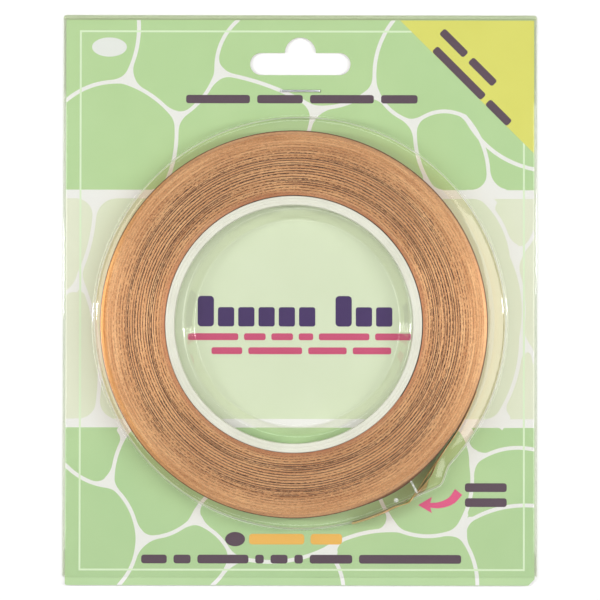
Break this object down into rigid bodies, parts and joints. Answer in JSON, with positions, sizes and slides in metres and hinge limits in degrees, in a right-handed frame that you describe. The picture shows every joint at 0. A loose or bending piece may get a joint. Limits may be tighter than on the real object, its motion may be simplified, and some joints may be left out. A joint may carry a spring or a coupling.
{
  "type": "copper foil tape roll",
  "caption": "Roll of copper foil tape on a ring core, in a clear blister dispenser pack on a hanging card, with the tape's end led out through a slit.",
  "frame": {"origin": "middle of the pack in plan, in the plane of the turned edges' back faces, on which the pack lies", "axes": "+X to the right of the printed face, +Y towards the hang slot, +Z out of the printed face, along the roll's axis"},
  "size_m": [0.1524, 0.1832, 0.009],
  "materials": {
    "printed_card": "satin printed board",
    "clear_plastic": "clear glossy thermoformed sheet",
    "staple_wire": "bright galvanised wire",
    "white_core": "satin moulded plastic",
    "copper_foil": "soft rolled copper foil",
    "release_paper": "coated release paper"
  },
  "bodies": {
    "pack": {"backing_card": "printed_card", "blister_shell": "clear_plastic", "staple": "staple_wire", "foil_lead": "copper_foil", "liner_lead": "release_paper"},
    "roll": {"roll_core": "white_core", "foil_winding": "copper_foil"},
    "tape_end": {"foil_tail": "copper_foil", "liner_tail": "release_paper"}
  },
  "joints": [
    {"name": "roll_spin", "type": "hinge", "parent": "pack", "child": "roll", "pos_m": [-0.002, -0.00795, 0.0046], "axis": [0, 0, -1], "continuous": true},
    {"name": "tape_end_swing", "type": "hinge", "parent": "pack", "child": "tape_end", "pos_m": [0.03494, -0.06479, 0.00465], "axis": [0, 0, 1], "range_deg": [0, 70]}
  ]
}
